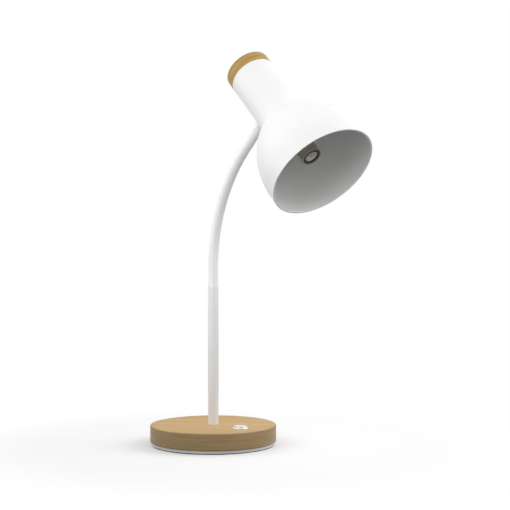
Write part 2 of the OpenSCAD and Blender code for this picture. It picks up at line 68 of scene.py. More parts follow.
lens = bpy.data.cameras.new("camera")
lens.lens = view["lens"]
lens.sensor_width = view["sensor"]
lens.shift_y = -view["shiftDown"]
cameraObject = bpy.data.objects.new("camera", lens)
cameraObject.location = view["place"]
cameraObject.rotation_euler = Vector(view["ahead"]).to_track_quat("-Z", "Y").to_euler()
bpy.context.scene.collection.objects.link(cameraObject)
bpy.context.scene.camera = cameraObject
print("camera placed")

# studio: a pale floor and soft boxes that are aimed at the head, so the base stands in less light
studio = {
    "floorSize": 12.0,
    "floorDrop": 0.0002,  # how far the floor lies under the lamp's foot
    "floorBounce": 0.22,  # how pale the floor is to everything but the camera
    "floorPale": 0.80,
    "floorLift": 0.15,
    "fadeFrom": 0.12,  # past this distance from the stem the floor turns to plain white
    "fadeTo": 0.32,
    "around": 0.86,  # the white room's light on the lamp
    # low dark cards, unseen by the camera, that shade the base
    "wall": {"radius": 0.42, "height": 0.12, "tone": 0.03, "sides": 48},
    "lookAt": (0.08, 0.0, 0.33),
    "lamps": [
        # name, place, width, height, spread in degrees, power
        ("left", (-1.30, -1.05, 0.95), 1.2, 1.5, 100, 1.66),
        ("right", (0.62, 0.75, 0.70), 0.7, 0.7, 180, 5.0),
        ("mouth", (1.10, -0.35, 0.75), 0.8, 0.8, 180, 0.45),
        ("fill", (0.26, -1.05, 0.42), 0.5, 0.5, 60, 0.60),
    ],
}


def addNode(tree, kind, settings=None):
    node = tree.nodes.new(kind)
    for key, value in (settings or {}).items():
        setattr(node, key, value)
    return node


def facing(place, target):
    return (Vector(target) - Vector(place)).to_track_quat("-Z", "Y").to_euler()


def seenDirectly(tree):
    # 1 for rays that come from the camera, from a gloss or through glass
    path = addNode(tree, "ShaderNodeLightPath")
    first = addNode(tree, "ShaderNodeMath", {"operation": "MAXIMUM"})
    second = addNode(tree, "ShaderNodeMath", {"operation": "MAXIMUM"})
    tree.links.new(path.outputs["Is Camera Ray"], first.inputs[0])
    tree.links.new(path.outputs["Is Glossy Ray"], first.inputs[1])
    tree.links.new(first.outputs[0], second.inputs[0])
    tree.links.new(path.outputs["Is Transmission Ray"], second.inputs[1])
    return second.outputs[0]


def makeWorld():
    world = bpy.data.worlds.new("studio")
    world.use_nodes = True
    tree = world.node_tree
    tree.nodes.clear()
    strength = addNode(tree, "ShaderNodeMapRange")
    strength.inputs["To Min"].default_value = studio["around"]
    strength.inputs["To Max"].default_value = 1.0
    tree.links.new(seenDirectly(tree), strength.inputs["Value"])
    glow = addNode(tree, "ShaderNodeBackground")
    tree.links.new(strength.outputs[0], glow.inputs["Strength"])
    glow.inputs["Color"].default_value = (1, 1, 1, 1)
    out = addNode(tree, "ShaderNodeOutputWorld")
    tree.links.new(glow.outputs[0], out.inputs["Surface"])
    bpy.context.scene.world = world


def makeFloor():
    half = studio["floorSize"] / 2
    mesh = bpy.data.meshes.new("floor")
    corners = [(-half, -half), (half, -half), (half, half), (-half, half)]
    mesh.from_pydata([(x, y, -studio["floorDrop"]) for x, y in corners], [], [(0, 1, 2, 3)])
    floor = bpy.data.objects.new("floor", mesh)
    bpy.context.scene.collection.objects.link(floor)
    paint = bpy.data.materials.new("paleFloor")
    paint.use_nodes = True
    tree = paint.node_tree
    tree.nodes.clear()
    seen = seenDirectly(tree)
    tone = addNode(tree, "ShaderNodeMapRange")
    tone.inputs["To Min"].default_value = studio["floorBounce"]
    tone.inputs["To Max"].default_value = studio["floorPale"]
    tree.links.new(seen, tone.inputs["Value"])
    lift = addNode(tree, "ShaderNodeMath", {"operation": "MULTIPLY"})
    lift.inputs[1].default_value = studio["floorLift"]
    tree.links.new(seen, lift.inputs[0])
    matte = addNode(tree, "ShaderNodeBsdfDiffuse")
    tree.links.new(tone.outputs[0], matte.inputs["Color"])
    glow = addNode(tree, "ShaderNodeEmission")
    tree.links.new(lift.outputs[0], glow.inputs["Strength"])
    both = addNode(tree, "ShaderNodeAddShader")
    tree.links.new(matte.outputs[0], both.inputs[0])
    tree.links.new(glow.outputs[0], both.inputs[1])
    spot = addNode(tree, "ShaderNodeTexCoord")
    away = addNode(tree, "ShaderNodeVectorMath", {"operation": "LENGTH"})
    tree.links.new(spot.outputs["Object"], away.inputs[0])
    fade = addNode(tree, "ShaderNodeMapRange", {"interpolation_type": "SMOOTHSTEP"})
    fade.inputs["From Min"].default_value = studio["fadeFrom"]
    fade.inputs["From Max"].default_value = studio["fadeTo"]
    tree.links.new(away.outputs["Value"], fade.inputs["Value"])
    far = addNode(tree, "ShaderNodeMath", {"operation": "MULTIPLY"})
    tree.links.new(fade.outputs[0], far.inputs[0])
    tree.links.new(seen, far.inputs[1])
    plain = addNode(tree, "ShaderNodeEmission")
    ground = addNode(tree, "ShaderNodeMixShader")
    tree.links.new(far.outputs[0], ground.inputs[0])
    tree.links.new(both.outputs[0], ground.inputs[1])
    tree.links.new(plain.outputs[0], ground.inputs[2])
    out = addNode(tree, "ShaderNodeOutputMaterial")
    tree.links.new(ground.outputs[0], out.inputs["Surface"])
    mesh.materials.append(paint)


def makeCards():
    wall = studio["wall"]
    radius, sides = wall["radius"], wall["sides"]
    mesh = bpy.data.meshes.new("cards")
    angles = [2 * math.pi * i / sides for i in range(sides)]
    corners = [
        (radius * math.cos(a), radius * math.sin(a), z)
        for z in (0.0, wall["height"])
        for a in angles
    ]
    faces = [(i, (i + 1) % sides, sides + (i + 1) % sides, sides + i) for i in range(sides)]
    mesh.from_pydata(corners, [], faces)
    cards = bpy.data.objects.new("cards", mesh)
    cards.visible_camera = False
    bpy.context.scene.collection.objects.link(cards)
    paint = bpy.data.materials.new("darkCard")
    paint.use_nodes = True
    tree = paint.node_tree
    tree.nodes.clear()
    matte = addNode(tree, "ShaderNodeBsdfDiffuse")
    matte.inputs["Color"].default_value = (wall["tone"],) * 3 + (1,)
    out = addNode(tree, "ShaderNodeOutputMaterial")
    tree.links.new(matte.outputs[0], out.inputs["Surface"])
    mesh.materials.append(paint)


def makeLamps():
    for name, place, width, height, spreadAngle, power in studio["lamps"]:
        light = bpy.data.lights.new(name, "AREA")
        light.shape = "RECTANGLE"
        light.size = width
        light.size_y = height
        light.spread = math.radians(spreadAngle)
        light.energy = power
        lamp = bpy.data.objects.new(name, light)
        lamp.location = place
        lamp.rotation_euler = facing(place, studio["lookAt"])
        bpy.context.scene.collection.objects.link(lamp)


makeWorld()
makeFloor()
makeCards()
makeLamps()
bpy.context.scene.view_settings.view_transform = "Standard"
print("studio ready")


# finishes
def startFinish(name, roughness, metallic=0.0, coat=0.0, coatRoughness=0.1, ior=1.5):
    finish = bpy.data.materials.new(name)
    finish.use_nodes = True
    tree = finish.node_tree
    tree.nodes.clear()
    shader = addNode(tree, "ShaderNodeBsdfPrincipled")
    shader.inputs["Roughness"].default_value = roughness
    shader.inputs["Metallic"].default_value = metallic
    shader.inputs["Coat Weight"].default_value = coat
    shader.inputs["Coat Roughness"].default_value = coatRoughness
    shader.inputs["IOR"].default_value = ior
    out = addNode(tree, "ShaderNodeOutputMaterial")
    tree.links.new(shader.outputs[0], out.inputs["Surface"])
    return finish, tree, shader


def place3d(tree, turn=(0, 0, 0), shift=(0, 0, 0), stretch=(1, 1, 1)):
    # object coordinates, shifted first and then turned and stretched
    spot = addNode(tree, "ShaderNodeTexCoord")
    turned = addNode(tree, "ShaderNodeMapping", {"vector_type": "TEXTURE"})
    turned.inputs["Location"].default_value = shift
    turned.inputs["Rotation"].default_value = [math.radians(a) for a in turn]
    tree.links.new(spot.outputs["Object"], turned.inputs["Vector"])
    scaled = addNode(tree, "ShaderNodeMapping", {"vector_type": "POINT"})
    scaled.inputs["Scale"].default_value = stretch
    tree.links.new(turned.outputs[0], scaled.inputs["Vector"])
    return scaled.outputs[0]


def noise(tree, vector, scale, detail, roughness, distortion=0.0):
    node = addNode(tree, "ShaderNodeTexNoise")
    node.inputs["Scale"].default_value = scale
    node.inputs["Detail"].default_value = detail
    node.inputs["Roughness"].default_value = roughness
    node.inputs["Distortion"].default_value = distortion
    tree.links.new(vector, node.inputs["Vector"])
    return node.outputs[0]


def spread(tree, value, low, high, lowAt=0.3, highAt=0.7):
    node = addNode(tree, "ShaderNodeMapRange")
    node.inputs["From Min"].default_value = lowAt
    node.inputs["From Max"].default_value = highAt
    node.inputs["To Min"].default_value = low
    node.inputs["To Max"].default_value = high
    tree.links.new(value, node.inputs["Value"])
    return node.outputs[0]


def blendColours(tree, amount, first, second, mode="MIX"):
    node = addNode(tree, "ShaderNodeMix", {"data_type": "RGBA", "blend_type": mode})
    for socket, colour in ((node.inputs[6], first), (node.inputs[7], second)):
        if isinstance(colour, tuple):
            socket.default_value = (*colour, 1)
        else:
            tree.links.new(colour, socket)
    if isinstance(amount, float):
        node.inputs[0].default_value = amount
    else:
        tree.links.new(amount, node.inputs[0])
    return node.outputs[2]


def addUp(tree, first, second, weight=1.0):
    node = addNode(tree, "ShaderNodeMath", {"operation": "MULTIPLY_ADD"})
    tree.links.new(second, node.inputs[0])
    node.inputs[1].default_value = weight
    tree.links.new(first, node.inputs[2])
    return node.outputs[0]


def raise3d(tree, shader, height, depth, strength):
    node = addNode(tree, "ShaderNodeBump")
    node.inputs["Strength"].default_value = strength
    node.inputs["Distance"].default_value = depth
    tree.links.new(height, node.inputs["Height"])
    tree.links.new(node.outputs[0], shader.inputs["Normal"])


woodLook = {
    "pale": (0.605, 0.388, 0.140),
    "deep": (0.440, 0.253, 0.083),
    "pore": (0.330, 0.180, 0.066),
    "ringSpacing": 0.0075,
    "grainTurn": 42.3,  # grain direction on the base, seen from above
    "heart": (0.010, 0.014, -0.030),  # where the tree's middle passed, under the board
    # painted shade: the side's colour is multiplied by this, so the side stays darker than the top as if
    # less light fell on it
    "sideShadeTint": (0.775, 0.86, 1.15),
    "sideFrom": 0.0742,  # distance from the middle where the top ends
    "sideTo": 0.0749,
    "ringStretch": (0.16, 1.0, 1.0),  # small numbers draw a pattern out along the grain
    "fibreStretch": (0.05, 1.0, 1.0),
    "poreStretch": (0.035, 1.0, 1.0),
    "streakStretch": (0.05, 0.05, 1.0),
    "waveRings": 20 / (2 * math.pi),  # rings per unit that a wave texture of scale 1 makes
    "ringWarp": 4.5,
    "warp": (26.0, 2.0, 0.45),  # a noise: scale, detail, roughness and distortion
    "fibre": (950.0, 4.0, 0.6),
    "pores": (1700.0, 2.0, 0.5),
    "streaks": (380.0, 4.0, 0.6, 0.4),
    "ringTone": (0.0, 0.62, 0.25, 1.0),  # lowest and highest tone, and the values that get them
    "warpTone": (-0.1, 0.42, 0.3, 0.75),
    "fibreTone": (-0.16, 0.2, 0.3, 0.7),
    "poreTone": (0.0, 0.34, 0.60, 0.72),
    "streakTone": (0.1, 0.9, 0.3, 0.7),
    "gloss": (0.40, 0.58, 0.3, 0.7),
    "relief": 0.00006,
    "poreSink": 0.8,  # how deep the pores lie, against the height of the fibres
    "bump": 0.55,
}


def makeWood(name, turn, heart, tint=(1.0, 1.0, 1.0), side=False):
    # year rings round the tree's middle: wide arcs on the top, level lines on the side
    finish, tree, shader = startFinish(name, roughness=0.46, coat=0.12, coatRoughness=0.35)
    look = woodLook
    along = place3d(tree, turn, heart, look["ringStretch"])
    warp = noise(tree, along, *look["warp"])
    rings = addNode(tree, "ShaderNodeTexWave", {"wave_type": "RINGS", "rings_direction": "X"})
    rings.inputs["Scale"].default_value = 1 / look["waveRings"] / look["ringSpacing"]
    rings.inputs["Distortion"].default_value = look["ringWarp"]
    rings.inputs["Detail"].default_value = 2.0
    rings.inputs["Detail Scale"].default_value = 0.5
    rings.inputs["Detail Roughness"].default_value = 0.5
    tree.links.new(along, rings.inputs["Vector"])
    fibre = noise(tree, place3d(tree, turn, heart, look["fibreStretch"]), *look["fibre"])
    pores = noise(tree, place3d(tree, turn, heart, look["poreStretch"]), *look["pores"])
    ringTone = spread(tree, rings.outputs[1], *look["ringTone"])
    broad = addUp(tree, ringTone, spread(tree, warp, *look["warpTone"]))
    tone = addUp(tree, broad, spread(tree, fibre, *look["fibreTone"]))
    body = blendColours(tree, tone, look["pale"], look["deep"])
    speck = spread(tree, pores, *look["poreTone"])
    colour = blendColours(tree, speck, body, look["pore"])
    colour = blendColours(tree, 1.0, colour, tint, "MULTIPLY")
    if side:
        # the turned side has level streaks of grain, and its colour is multiplied darker than the top's:
        # painted shade for the less light that falls on the side
        streaks = noise(tree, place3d(tree, stretch=look["streakStretch"]), *look["streaks"])
        level = spread(tree, streaks, *look["streakTone"])
        sideStreaksShaded = blendColours(tree, level, look["pale"], look["deep"])
        # painted shade: the side is darkened by this tint
        sideStreaksShaded = blendColours(tree, 1.0, sideStreaksShaded, look["sideShadeTint"], "MULTIPLY")
        flat = addNode(tree, "ShaderNodeVectorMath", {"operation": "MULTIPLY"})
        flat.inputs[1].default_value = (1, 1, 0)
        tree.links.new(place3d(tree), flat.inputs[0])
        away = addNode(tree, "ShaderNodeVectorMath", {"operation": "LENGTH"})
        tree.links.new(flat.outputs[0], away.inputs[0])
        rim = spread(tree, away.outputs["Value"], 0.0, 1.0, look["sideFrom"], look["sideTo"])
        colour = blendColours(tree, rim, colour, sideStreaksShaded)
    tree.links.new(colour, shader.inputs["Base Color"])
    tree.links.new(spread(tree, fibre, *look["gloss"]), shader.inputs["Roughness"])
    height = addUp(tree, fibre, pores, -look["poreSink"])
    raise3d(tree, shader, height, look["relief"], look["bump"])
    return finish


paintLook = {
    "colour": (0.86, 0.862, 0.858),
    "dust": (0.80, 0.80, 0.79),
    "cloud": (22.0, 3.0, 0.5),
    "cloudTone": 0.45,
    "peel": (1500.0, 2.0, 0.45),
    "peelCloud": 0.3,  # how much of the cloud is in the relief
    "relief": 0.000018,
    "bump": 0.8,
    "shinier": 0.05,  # how far the roughness goes below and above the given one
    "duller": 0.09,
}


def makePaint(name, colour, roughness=0.34, dust=paintLook["dust"]):
    # powder coat: a fine orange peel, a little uneven in gloss
    finish, tree, shader = startFinish(name, roughness=roughness, coat=0.15, coatRoughness=0.22)
    look, spot = paintLook, place3d(tree)
    cloud = noise(tree, spot, *look["cloud"])
    peel = noise(tree, spot, *look["peel"])
    colour = blendColours(tree, spread(tree, cloud, 0.0, look["cloudTone"]), colour, dust)
    tree.links.new(colour, shader.inputs["Base Color"])
    gloss = spread(tree, cloud, roughness - look["shinier"], roughness + look["duller"])
    tree.links.new(gloss, shader.inputs["Roughness"])
    height = addUp(tree, peel, cloud, look["peelCloud"])
    raise3d(tree, shader, height, look["relief"], look["bump"])
    return finish


plasticLook = {
    "cloud": (30.0, 3.0, 0.55),
    "cloudTone": 0.35,
    "grain": (3.0, 0.6),  # detail and roughness, its scale is the plastic's own
    "grainTone": 0.4,
    "bump": 0.7,
    "shinier": 0.08,
    "duller": 0.1,
}


def makePlastic(name, colour, deep, roughness, grain, depth):
    # a fine moulded grain, with the colour a little uneven
    finish, tree, shader = startFinish(name, roughness=roughness, ior=1.47)
    look, spot = plasticLook, place3d(tree)
    cloud = noise(tree, spot, *look["cloud"])
    fine = noise(tree, spot, grain, *look["grain"])
    uneven = spread(tree, cloud, 0.0, look["cloudTone"])
    tone = addUp(tree, uneven, spread(tree, fine, 0.0, look["grainTone"]))
    tree.links.new(blendColours(tree, tone, colour, deep), shader.inputs["Base Color"])
    gloss = spread(tree, fine, roughness - look["shinier"], roughness + look["duller"])
    tree.links.new(gloss, shader.inputs["Roughness"])
    raise3d(tree, shader, fine, depth, look["bump"])
    return finish


metalLook = {
    "cloud": (45.0, 3.0, 0.5),
    "cloudTone": 0.5,
    "marks": (4.0, 0.62),
    "markTone": 0.45,
    "relief": 0.00002,
    "bump": 0.5,
    "shinier": 0.09,
    "duller": 0.13,
}


def makeMetal(name, colour, deep, roughness, grain, metallic):
    # fine marks all over, and a cloud of duller and brighter places
    finish, tree, shader = startFinish(name, roughness=roughness, metallic=metallic)
    look, spot = metalLook, place3d(tree)
    marks = noise(tree, spot, grain, *look["marks"])
    cloud = noise(tree, spot, *look["cloud"])
    fine = spread(tree, marks, 0.0, look["markTone"])
    tone = addUp(tree, fine, spread(tree, cloud, 0.0, look["cloudTone"]))
    tree.links.new(blendColours(tree, tone, colour, deep), shader.inputs["Base Color"])
    gloss = spread(tree, marks, roughness - look["shinier"], roughness + look["duller"])
    tree.links.new(gloss, shader.inputs["Roughness"])
    raise3d(tree, shader, marks, look["relief"], look["bump"])
    return finish


headTurn = (0, 45.5 - 90, 0)
headPlace = (0.183551, 0.0, 0.315906)  # the middle of the shade's mouth
capLook = {"heart": (0.183, 0.012, 0.316), "tint": (0.745, 0.725, 0.43)}
finishes = {
    "wood": makeWood("woodBase", (0, 0, woodLook["grainTurn"]), woodLook["heart"], side=True),
    "woodCap": makeWood("woodCap", headTurn, capLook["heart"], capLook["tint"]),
    "white_paint": makePaint("whitePaint", paintLook["colour"]),
    "plate_paint": makePaint("platePaint", (0.95, 0.952, 0.948), 0.34, (0.91, 0.91, 0.90)),
    "holder_metal": makePaint("bronzePaint", (0.40, 0.375, 0.285), 0.46, (0.30, 0.28, 0.21)),
}
# name of the slot: material, colour, its deeper tone, roughness, grain per metre, depth of the grain
plastics = {
    "white_plastic": ("softSleeve", (0.93, 0.93, 0.925), (0.89, 0.89, 0.885), 0.42, 900.0, 0.00003),
    "foot": ("footFoam", (0.030, 0.030, 0.032), (0.012, 0.012, 0.013), 0.86, 2600.0, 0.00012),
    "black_plastic": ("blackPlastic", (0.022, 0.021, 0.019), (0.012, 0.012, 0.012), 0.66, 1800.0, 0.00003),
    "insulator": ("ceramic", (0.88, 0.86, 0.82), (0.78, 0.75, 0.69), 0.30, 800.0, 0.00003),
    "cable": ("cableJacket", (0.66, 0.66, 0.65), (0.52, 0.52, 0.51), 0.50, 1500.0, 0.00003),
    "conductor": ("wireJacket", (0.20, 0.105, 0.060), (0.12, 0.06, 0.035), 0.45, 1500.0, 0.00003),
    "grommet": ("grommetRubber", (0.62, 0.62, 0.61), (0.46, 0.46, 0.45), 0.66, 1700.0, 0.00005),
}
# name of the slot: material, colour, its deeper tone, roughness, marks per metre, how metallic
metals = {
    "iron": ("castIron", (0.16, 0.16, 0.165), (0.075, 0.072, 0.07), 0.62, 700.0, 1.0),
    "steel": ("zincSteel", (0.62, 0.63, 0.64), (0.44, 0.45, 0.45), 0.36, 1400.0, 1.0),
    "bright_metal": ("satinChrome", (0.90, 0.90, 0.905), (0.76, 0.76, 0.765), 0.40, 2200.0, 1.0),
    "hose_metal": ("hoseSteel", (0.55, 0.55, 0.56), (0.36, 0.36, 0.37), 0.40, 1400.0, 1.0),
    "thread_metal": ("dullNickel", (0.97, 0.955, 0.925), (0.90, 0.88, 0.84), 0.62, 1400.0, 0.2),
    "contact_brass": ("brass", (0.72, 0.52, 0.24), (0.50, 0.33, 0.13), 0.32, 1400.0, 1.0),
}
finishes.update({slot: makePlastic(*look) for slot, look in plastics.items()})
finishes.update({slot: makeMetal(*look) for slot, look in metals.items()})

# nodes that don't wear their slot's finish
ownFinish = {"cap": "woodCap", "bottom_plate": "plate_paint"}
for part in frame["record"]["subparts"]:
    finish = finishes[ownFinish.get(part["node"], part["material_slot"])]
    for slot in nodes[part["node"]].material_slots:
        slot.material = finish
print("finishes given to every node")


# geometry nodes that the swept, rolled and repeated pieces share
weldDistance = 1e-6  # points this near are one
creaseAngle = 35.0


def startTree(name, inputs):
    tree = bpy.data.node_groups.new(name, "GeometryNodeTree")
    tree.interface.new_socket("Geometry", in_out="INPUT", socket_type="NodeSocketGeometry")
    tree.interface.new_socket("Geometry", in_out="OUTPUT", socket_type="NodeSocketGeometry")
    for label, kind in inputs:
        tree.interface.new_socket(label, in_out="INPUT", socket_type="NodeSocket" + kind)
    return tree, tree.nodes.new("NodeGroupInput"), tree.nodes.new("NodeGroupOutput")


def finishTree(tree, start, end, geometry):
    real = addNode(tree, "GeometryNodeRealizeInstances")
    coat = addNode(tree, "GeometryNodeSetMaterial")
    tree.links.new(geometry, real.inputs[0])
    tree.links.new(real.outputs[0], coat.inputs["Geometry"])
    tree.links.new(start.outputs["Finish"], coat.inputs["Material"])
    tree.links.new(coat.outputs[0], end.inputs[0])
    return tree


def tidyMesh(mesh):
    shape = bmesh.new()
    shape.from_mesh(mesh)
    bmesh.ops.remove_doubles(shape, verts=shape.verts, dist=weldDistance)
    bmesh.ops.recalc_face_normals(shape, faces=shape.faces)
    shape.to_mesh(mesh)
    shape.free()
    for face in mesh.polygons:
        face.use_smooth = True
    mesh.set_sharp_from_angle(angle=math.radians(creaseAngle))


def grow(name, tree, points, edges, values):
    # runs the tree on a small seed mesh and keeps what comes out as a plain mesh
    seed = bpy.data.meshes.new(name + "Seed")
    seed.from_pydata([tuple(p) for p in points], edges, [])
    host = bpy.data.objects.new(name + "Seed", seed)
    bpy.context.scene.collection.objects.link(host)
    modifier = host.modifiers.new("grow", "NODES")
    modifier.node_group = tree
    for item in tree.interface.items_tree:
        if item.in_out == "INPUT" and item.name in values:
            modifier[item.identifier] = values[item.name]
    graph = bpy.context.evaluated_depsgraph_get()
    mesh = bpy.data.meshes.new_from_object(host.evaluated_get(graph), depsgraph=graph)
    host.modifiers.clear()
    bpy.data.objects.remove(host)
    mesh.name = name
    tidyMesh(mesh)
    piece = bpy.data.objects.new(name, mesh)
    bpy.context.scene.collection.objects.link(piece)
    return piece


def calc(tree, operation, *values):
    node = addNode(tree, "ShaderNodeMath", {"operation": operation})
    for socket, value in zip(node.inputs, values):
        if isinstance(value, (int, float)):
            socket.default_value = value
        else:
            tree.links.new(value, socket)
    return node.outputs[0]


def thicken(tree, skin, wall):
    # the skin and a copy of it, wall further in, joined at their rims
    inner = addNode(tree, "GeometryNodeExtrudeMesh", {"mode": "FACES"})
    inner.inputs["Individual"].default_value = False
    tree.links.new(skin, inner.inputs["Mesh"])
    tree.links.new(calc(tree, "MULTIPLY", wall, -1.0), inner.inputs["Offset Scale"])
    flip = addNode(tree, "GeometryNodeFlipFaces")
    tree.links.new(inner.outputs["Mesh"], flip.inputs[0])
    both = addNode(tree, "GeometryNodeJoinGeometry")
    tree.links.new(flip.outputs[0], both.inputs[0])
    tree.links.new(skin, both.inputs[0])
    weld = addNode(tree, "GeometryNodeMergeByDistance")
    weld.inputs["Distance"].default_value = weldDistance
    tree.links.new(both.outputs[0], weld.inputs["Geometry"])
    return weld.outputs[0]


def shadeSmooth(tree, geometry):
    smooth = addNode(tree, "GeometryNodeSetShadeSmooth")
    tree.links.new(geometry, smooth.inputs["Geometry"])
    return smooth.outputs[0]


def makeHoseTree(name, hollow):
    # a tube or a rod along the seed's line of edges
    tree, start, end = startTree(
        name, [("Radius", "Float"), ("Wall", "Float"), ("Sides", "Int"), ("Finish", "Material")]
    )
    line = addNode(tree, "GeometryNodeMeshToCurve")
    ring = addNode(tree, "GeometryNodeCurvePrimitiveCircle")
    sweep = addNode(tree, "GeometryNodeCurveToMesh")
    tree.links.new(start.outputs["Geometry"], line.inputs["Mesh"])
    tree.links.new(start.outputs["Sides"], ring.inputs["Resolution"])
    tree.links.new(start.outputs["Radius"], ring.inputs["Radius"])
    tree.links.new(line.outputs[0], sweep.inputs["Curve"])
    tree.links.new(ring.outputs["Curve"], sweep.inputs["Profile Curve"])
    sweep.inputs["Fill Caps"].default_value = not hollow
    skin = sweep.outputs[0]
    if hollow:
        skin = thicken(tree, skin, start.outputs["Wall"])
    return finishTree(tree, start, end, shadeSmooth(tree, skin))


def makeThreadTree():
    # a thin tube whose wall runs in and out along a helix and is round again at its ends
    tree, start, end = startTree(
        "rolledThread",
        [("Radius", "Float"), ("Depth", "Float"), ("Pitch", "Float"), ("Length", "Float"),
         ("Wall", "Float"), ("Fade", "Float"), ("Around", "Int"), ("Along", "Int"),
         ("Finish", "Material")],
    )
    sheet = addNode(tree, "GeometryNodeMeshGrid")
    tree.links.new(start.outputs["Around"], sheet.inputs["Vertices X"])
    tree.links.new(start.outputs["Along"], sheet.inputs["Vertices Y"])
    split = addNode(tree, "ShaderNodeSeparateXYZ")
    tree.links.new(addNode(tree, "GeometryNodeInputPosition").outputs[0], split.inputs[0])
    angle = calc(tree, "MULTIPLY_ADD", split.outputs["X"], 2 * math.pi, math.pi)
    along = calc(tree, "ADD", split.outputs["Y"], 0.5)
    height = calc(tree, "MULTIPLY", along, start.outputs["Length"])
    turns = calc(tree, "DIVIDE", height, start.outputs["Pitch"])
    phase = calc(tree, "MULTIPLY_ADD", turns, 2 * math.pi, angle)
    fromEnd = calc(tree, "SUBTRACT", 0.5, calc(tree, "ABSOLUTE", split.outputs["Y"]))
    fade = calc(tree, "MINIMUM", calc(tree, "MULTIPLY", fromEnd, start.outputs["Fade"]), 1.0)
    depth = calc(tree, "MULTIPLY", start.outputs["Depth"], fade)
    radius = calc(tree, "MULTIPLY_ADD", calc(tree, "SINE", phase), depth, start.outputs["Radius"])
    spot = addNode(tree, "ShaderNodeCombineXYZ")
    tree.links.new(calc(tree, "MULTIPLY", radius, calc(tree, "COSINE", angle)), spot.inputs["X"])
    tree.links.new(calc(tree, "MULTIPLY", radius, calc(tree, "SINE", angle)), spot.inputs["Y"])
    tree.links.new(height, spot.inputs["Z"])
    rolled = addNode(tree, "GeometryNodeSetPosition")
    tree.links.new(sheet.outputs["Mesh"], rolled.inputs["Geometry"])
    tree.links.new(spot.outputs[0], rolled.inputs["Position"])
    seam = addNode(tree, "GeometryNodeMergeByDistance")
    seam.inputs["Distance"].default_value = weldDistance
    tree.links.new(rolled.outputs[0], seam.inputs["Geometry"])
    skin = thicken(tree, seam.outputs[0], start.outputs["Wall"])
    return finishTree(tree, start, end, shadeSmooth(tree, skin))


def makeSpringTree():
    # a round wire along a helix
    tree, start, end = startTree(
        "coil",
        [("Turns", "Float"), ("Radius", "Float"), ("Height", "Float"), ("Wire", "Float"),
         ("Steps", "Int"), ("Sides", "Int"), ("Finish", "Material")],
    )
    coil = addNode(tree, "GeometryNodeCurveSpiral")
    tree.links.new(start.outputs["Steps"], coil.inputs["Resolution"])
    tree.links.new(start.outputs["Turns"], coil.inputs["Rotations"])
    tree.links.new(start.outputs["Radius"], coil.inputs["Start Radius"])
    tree.links.new(start.outputs["Radius"], coil.inputs["End Radius"])
    tree.links.new(start.outputs["Height"], coil.inputs["Height"])
    ring = addNode(tree, "GeometryNodeCurvePrimitiveCircle")
    tree.links.new(start.outputs["Sides"], ring.inputs["Resolution"])
    tree.links.new(start.outputs["Wire"], ring.inputs["Radius"])
    sweep = addNode(tree, "GeometryNodeCurveToMesh")
    sweep.inputs["Fill Caps"].default_value = True
    tree.links.new(coil.outputs[0], sweep.inputs["Curve"])
    tree.links.new(ring.outputs["Curve"], sweep.inputs["Profile Curve"])
    return finishTree(tree, start, end, shadeSmooth(tree, sweep.outputs[0]))


def makeFastenerTree():
    # the same fastener on every point of the seed, each turned its own way
    tree, start, end = startTree(
        "fasteners", [("Item", "Object"), ("Seed", "Int"), ("Finish", "Material")]
    )
    item = addNode(tree, "GeometryNodeObjectInfo")
    item.inputs["As Instance"].default_value = True
    tree.links.new(start.outputs["Item"], item.inputs["Object"])
    turn = addNode(tree, "FunctionNodeRandomValue", {"data_type": "FLOAT"})
    tree.links.new(start.outputs["Seed"], turn.inputs["Seed"])
    amount = addNode(tree, "ShaderNodeCombineXYZ")
    tree.links.new(calc(tree, "MULTIPLY", turn.outputs[1], 2 * math.pi), amount.inputs["Z"])
    placed = addNode(tree, "GeometryNodeInstanceOnPoints")
    tree.links.new(start.outputs["Geometry"], placed.inputs["Points"])
    tree.links.new(item.outputs["Geometry"], placed.inputs["Instance"])
    tree.links.new(amount.outputs[0], placed.inputs["Rotation"])
    return finishTree(tree, start, end, placed.outputs[0])


def chain(points):
    return [(i, i + 1) for i in range(len(points) - 1)]


# gooseneck: its sleeve and the cable inside, drawn along its curve in one length round every ball of the
# hose
neckPath = {
    "stemTop": 0.1882,  # height over the table, where the gooseneck starts
    "rise": 0.023,  # it goes straight up this far before it bends
    "bendRadius": 0.193,
    "bendAngle": 45.5,
    "firstBall": 0.007,  # how far along the gooseneck the first and the last ball are
    "lastBall": 0.206266,
    "links": 12,
}
sleeve = {
    "radius": 0.00585,
    "wall": 0.00075,
    "sides": 56,
    "step": 0.0011,
    "from": 0.0012,  # along the gooseneck, as the balls
    "to": 0.211266,
}
cable = {
    "jacket": {"Radius": 0.0016, "Sides": 20},
    "core": {"Radius": 0.0007, "Sides": 16},
    "coreIn": 0.00078,  # from the middle of the cable to the middle of a core
    "wireHeight": 0.00635,  # where the cores lie in the hollow of the base
    "coreTurn": 0.005,  # radius of the bend from upright to level
    "jacketUp": 0.002,  # how far over that bend the jacket ends
    "coreUp": 0.0025,  # and how far over it a core is drawn, inside the jacket
    "coreFlat": 0.0018,
    "coreRuns": {
        "coreToTerminal": (-1, [(-0.022, -0.005), (-0.033, -0.005)]),
        "coreToSwitch": (1, [(0.0345, -0.0026), (0.0435, -0.0026)]),
    },
    "neckTurn": 0.008,
    "entry": 0.111695,  # this and the rest are heights in the head, up from the shade's mouth
    "jacketEnd": 0.0732,
    "coreFrom": 0.0755,
    "coreTo": 0.0540,
}


def pathPoint(s):
    # the middle of the gooseneck, s along it: straight up, round the bend, and straight on
    radius, rise = neckPath["bendRadius"], neckPath["rise"]
    fullTurn = math.radians(neckPath["bendAngle"])
    turn = min(max(s - rise, 0) / radius, fullTurn)
    past = max(0, s - rise - radius * fullTurn)
    x = radius * (1 - math.cos(turn)) + past * math.sin(turn)
    z = neckPath["stemTop"] + min(s, rise) + radius * math.sin(turn)
    return Vector((x, 0, z + past * math.cos(turn)))


def pathPoints(start, end, step):
    count = max(2, round((end - start) / step))
    return [pathPoint(start + (end - start) * i / count) for i in range(count + 1)]


